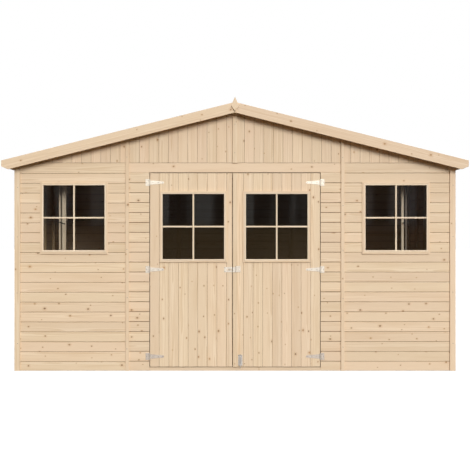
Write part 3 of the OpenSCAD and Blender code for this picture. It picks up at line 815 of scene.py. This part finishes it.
def windows():
    rows = (("window_casings", "window_glass", "shed"),
            ("left_door_casing", "left_door_glass", "left_door"),
            ("right_door_casing", "right_door_glass", "right_door"))
    for casings, glass_node, body in rows:
        outside, inside, bars = Boards(), Boards(), Boards()
        for pane in panes(glass_node):
            middle = (pane[0].x + pane[1].x) / 2
            near = [box for box in solids(casings) if abs((box[0].x + box[1].x) / 2 - middle) < WINDOW_REACH]
            outer = corners([corner for box in near for corner in box])
            casing(outside, pane, outer)
            bead(inside, pane, outer)
            glazing_bars(bars, pane, pane[0].y - BAR_T)
        outside.piece(casings + "_boards", body, TRIM_WOOD, "trim_wood", casings)
        inside.piece(casings + "_beads", body, BEAD_WOOD, "trim_wood")
        bars.piece(casings + "_bars", body, BEAD_WOOD, "trim_wood")


# ---------------------------------------------------------------- hardware


def hardware():
    """The CAD pieces of steel with slightly rounded edges."""
    rows = (("wall_hinge_plates", "shed"), ("left_hinge_straps", "left_door"),
            ("right_hinge_straps", "right_door"), ("hasp_plate", "left_door"),
            ("hasp_hinge", "right_door"), ("bolt_plate", "right_door"), ("bolt_rod", "bolt"))
    for node, body in rows:
        bm = merged(node)
        ease(bm, SHARP_STEEL, METAL_EASED)
        mesh = as_mesh(bm, node + "_steel")
        mesh.shade_smooth()
        mesh.set_sharp_from_angle(angle=CREASE)
        steel = BOLT_STEEL if node.startswith("bolt") else STEEL
        made = add(node + "_steel", mesh, body, steel, "galvanized_steel", node)
        made.modifiers.new("normals", "WEIGHTED_NORMAL").keep_sharp = True


def screw(bm, place, radius):
    """A domed screw head with a cross recess, on a face that looks along -Y."""
    rings = []
    for share, height in SCREW_RINGS:
        ring = []
        for i in range(SCREW_SIDES):
            angle = 2 * math.pi * i / SCREW_SIDES
            r = radius * share * (RECESS[i % 4] if share < RECESS_FROM else 1.0)
            corner = Vector((r * math.cos(angle), -radius * height, r * math.sin(angle)))
            ring.append(bm.verts.new(place + corner))
        rings.append(ring)
    for low, high in zip(rings, rings[1:]):
        for i in range(SCREW_SIDES):
            bm.faces.new((low[i - 1], low[i], high[i], high[i - 1]))
    bm.faces.new(rings[-1])
    bm.faces.new(rings[0][::-1])


def nail_spots():
    """Nails up the middle of the front's upright trims. The others draw places too, left unused."""
    spots = []
    for node in ("wall_battens", "corner_trims"):
        for low, high in solids(node):
            count = max(2, round((high.z - low.z) / NAIL_STEP))
            for i in range(count):
                z = low.z + (high.z - low.z) * (i + 0.5) / count + RNG.uniform(-20, 20) * MM
                x = (low.x + high.x) / 2 + RNG.uniform(-3, 3) * MM
                if low.y < -FACE:
                    spots.append((x, low.y, z, NAIL_R))
    return spots


def screws():
    """Screw heads on the hinges, the hasp and the bolt's plate."""
    spots = {"shed": nail_spots(), "left_door": [], "right_door": []}
    for low, high in solids("wall_hinge_plates"):
        side = math.copysign(1, low.x)
        outer = max(abs(low.x), abs(high.x))
        middle = (low.z + high.z) / 2
        for inset, rise in PLATE_SCREWS:
            spots["shed"].append((side * (outer - inset), -FACE - STRAP_T, middle + rise, HINGE_SCREW_R))
    for node, body in (("left_hinge_straps", "left_door"), ("right_hinge_straps", "right_door")):
        for low, high in solids(node):
            side = math.copysign(1, low.x)
            inner = min(abs(low.x), abs(high.x))
            middle = (low.z + high.z) / 2
            for x in STRAP_SCREWS:
                spots[body].append((side * (inner + x), -FACE - STRAP_T, middle, HINGE_SCREW_R))
    low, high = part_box("hasp_plate")
    inset, end = HASP_PLATE_SCREW
    for z in (low.z + end, high.z - end):
        spots["left_door"].append((low.x + inset, -FACE - STRAP_T, z, HASP_SCREW_R))
    low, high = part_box("hasp_hinge")
    inset, end = HASP_HINGE_SCREW
    for z in (low.z + end, high.z - end):
        spots["right_door"].append((high.x - inset, -FACE - STRAP_T, z, HASP_SCREW_R))
    low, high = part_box("bolt_plate")
    inset, end = BOLT_PLATE_SCREW
    for x in (low.x + inset, high.x - inset):
        for z in (low.z + end, (low.z + high.z) / 2, high.z - end):
            spots["right_door"].append((x, -FACE - BOLT_PLATE_T, z, BOLT_SCREW_R))
    for body, places in spots.items():
        bm = bmesh.new()
        for x, y, z, radius in places:
            screw(bm, Vector((x, y, z)), radius)
        bmesh.ops.recalc_face_normals(bm, faces=bm.faces)
        add(body + "_screws", as_mesh(bm, body + "_screws"), body, SCREW, "galvanized_steel")


def wire(bm, points, radius):
    """A round wire along points that lie in one upright plane facing -Y."""
    rings = []
    for i, point in enumerate(points):
        before, after = points[max(i - 1, 0)], points[min(i + 1, len(points) - 1)]
        side = (after - before).normalized().cross(Y)
        ring = []
        for k in range(WIRE_SIDES):
            angle = 2 * math.pi * k / WIRE_SIDES
            ring.append(bm.verts.new(point + radius * (side * math.cos(angle) + Y * math.sin(angle))))
        rings.append(ring)
    for low, high in zip(rings, rings[1:]):
        for k in range(WIRE_SIDES):
            bm.faces.new((low[k - 1], low[k], high[k], high[k - 1]))
    bm.faces.new(rings[0][::-1])
    bm.faces.new(rings[-1])


def hooks():
    """A black wire hook across the front of each post and its lath."""
    bm = bmesh.new()
    lath, post, right = sorted(solids("purlin_posts"), key=lambda box: box[0].x)[:3]
    spans = (((lath[0].x + lath[1].x) / 2 - HOOK_BEFORE, (post[0].x + post[1].x) / 2 + HOOK_PAST, post),
             ((right[0].x + right[1].x) / 2, right[1].x + HOOK_PAST, right))
    for (start, stop, carrier), rise in zip(spans, HOOK_RISES):
        points = []
        for i in range(HOOK_STEPS + 1):
            share = i / HOOK_STEPS
            sway = HOOK_SWAY * math.sin(2 * math.pi * share)
            points.append(Vector((start + (stop - start) * share, carrier[0].y - HOOK_R - FIT,
                                  HOOK_Z + rise * (1 - 2 * share) + sway)))
        wire(bm, points, HOOK_R)
    bmesh.ops.recalc_face_normals(bm, faces=bm.faces)
    mesh = as_mesh(bm, "wire_hooks")
    mesh.shade_smooth()
    add("wire_hooks", mesh, "shed", IRON, "galvanized_steel")


def glass_panes():
    rows = (("window_glass", GLASS), ("left_door_glass", DOOR_GLASS), ("right_door_glass", DOOR_GLASS))
    for node, material in rows:
        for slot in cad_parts[node].material_slots:
            slot.material = material


# ---------------------------------------------------------------- studio

KEY_ELEVATION, KEY_AZIMUTH = math.radians(17), math.radians(12)
KEY_SPREAD = math.radians(22)
KEY_POWER = 2.54
SKY_LOW, SKY_HIGH = 0.02, 0.75           # sky at the horizon and high up
BACK_FILL = 0.4                          # light from behind, for the sides and the back
FLOOR_REACH = 90                         # half the floor's width
FLOOR_BOUNCE = (0.095, 0.06, 0.028, 1)   # warm, as light that the ground throws back
FLOOR_GLOW = 0.78                        # the floor as the camera sees it: its own light
FLOOR_SHADOW = 0.4                       # and how much of the shed's shadow shows on it
CAMERA_Y, CAMERA_Z = -12.47, 1.205
LENS, CLIP_END = 94.9, 400


def seen_directly(g):
    """1 on rays from the camera, and on rays that metal and glass pass on."""
    path = g.node("LightPath").outputs
    return g.math("MINIMUM", g.add(path["Is Camera Ray"], path["Is Glossy Ray"],
                                   path["Is Transmission Ray"]), 1.0)


def studio():
    world = bpy.data.worlds.new("studio")
    bpy.context.scene.world = world
    g = Graph(world)
    _, toward, up = g.split(g.node("TexCoord").outputs["Generated"])
    sky = g.add(g.ramp(up, 0.12, 0.6, SKY_LOW, SKY_HIGH), g.ramp(toward, 0.1, 0.7, 0.0, BACK_FILL))
    light = g.node("Background", {"Color": WHITE, "Strength": sky})
    white = g.node("Background", {"Color": WHITE, "Strength": 1.0})
    g.output(g.node("MixShader", {0: seen_directly(g), 1: light.outputs[0], 2: white.outputs[0]}).outputs[0])

    sun = bpy.data.lights.new("key", "SUN")
    sun.energy, sun.angle = KEY_POWER, KEY_SPREAD
    key = placed("key", sun)
    level_part = math.cos(KEY_ELEVATION)
    toward_key = Vector((math.sin(KEY_AZIMUTH) * level_part, -math.cos(KEY_AZIMUTH) * level_part,
                         math.sin(KEY_ELEVATION)))
    key.rotation_euler = toward_key.to_track_quat("Z", "Y").to_euler()

    bm = bmesh.new()
    bm.faces.new([bm.verts.new((x * FLOOR_REACH, y * FLOOR_REACH, -FIT)) for x, y in
                  ((-1, -1), (1, -1), (1, 1), (-1, 1))])
    mesh = as_mesh(bm, "floor")
    floor = placed("floor", mesh)
    material = bpy.data.materials.new("studio_floor")
    g = Graph(material)
    plain = g.node("BsdfDiffuse", {"Color": FLOOR_BOUNCE})
    shaded = g.node("BsdfDiffuse", {"Color": (FLOOR_SHADOW, FLOOR_SHADOW, FLOOR_SHADOW, 1)})
    glow = g.node("Emission", {"Strength": FLOOR_GLOW})
    both = g.node("AddShader", {0: shaded.outputs[0], 1: glow.outputs[0]})
    g.output(g.node("MixShader", {0: seen_directly(g), 1: plain.outputs[0], 2: both.outputs[0]}).outputs[0])
    mesh.materials.append(material)


def camera():
    data = bpy.data.cameras.new("camera")
    data.lens, data.clip_end = LENS, CLIP_END
    made = placed("camera", data)
    made.location = (0, CAMERA_Y, CAMERA_Z)
    made.rotation_euler = (math.radians(90), 0, 0)
    bpy.context.scene.camera = made


front_walls()
door_surround()
back_wall()
side_walls()
gables()
roof()
floor_boards()
timber()
posts()
doors()
windows()
hardware()
screws()
hooks()
glass_panes()
studio()
camera()
bpy.context.scene.view_settings.view_transform = "Standard"
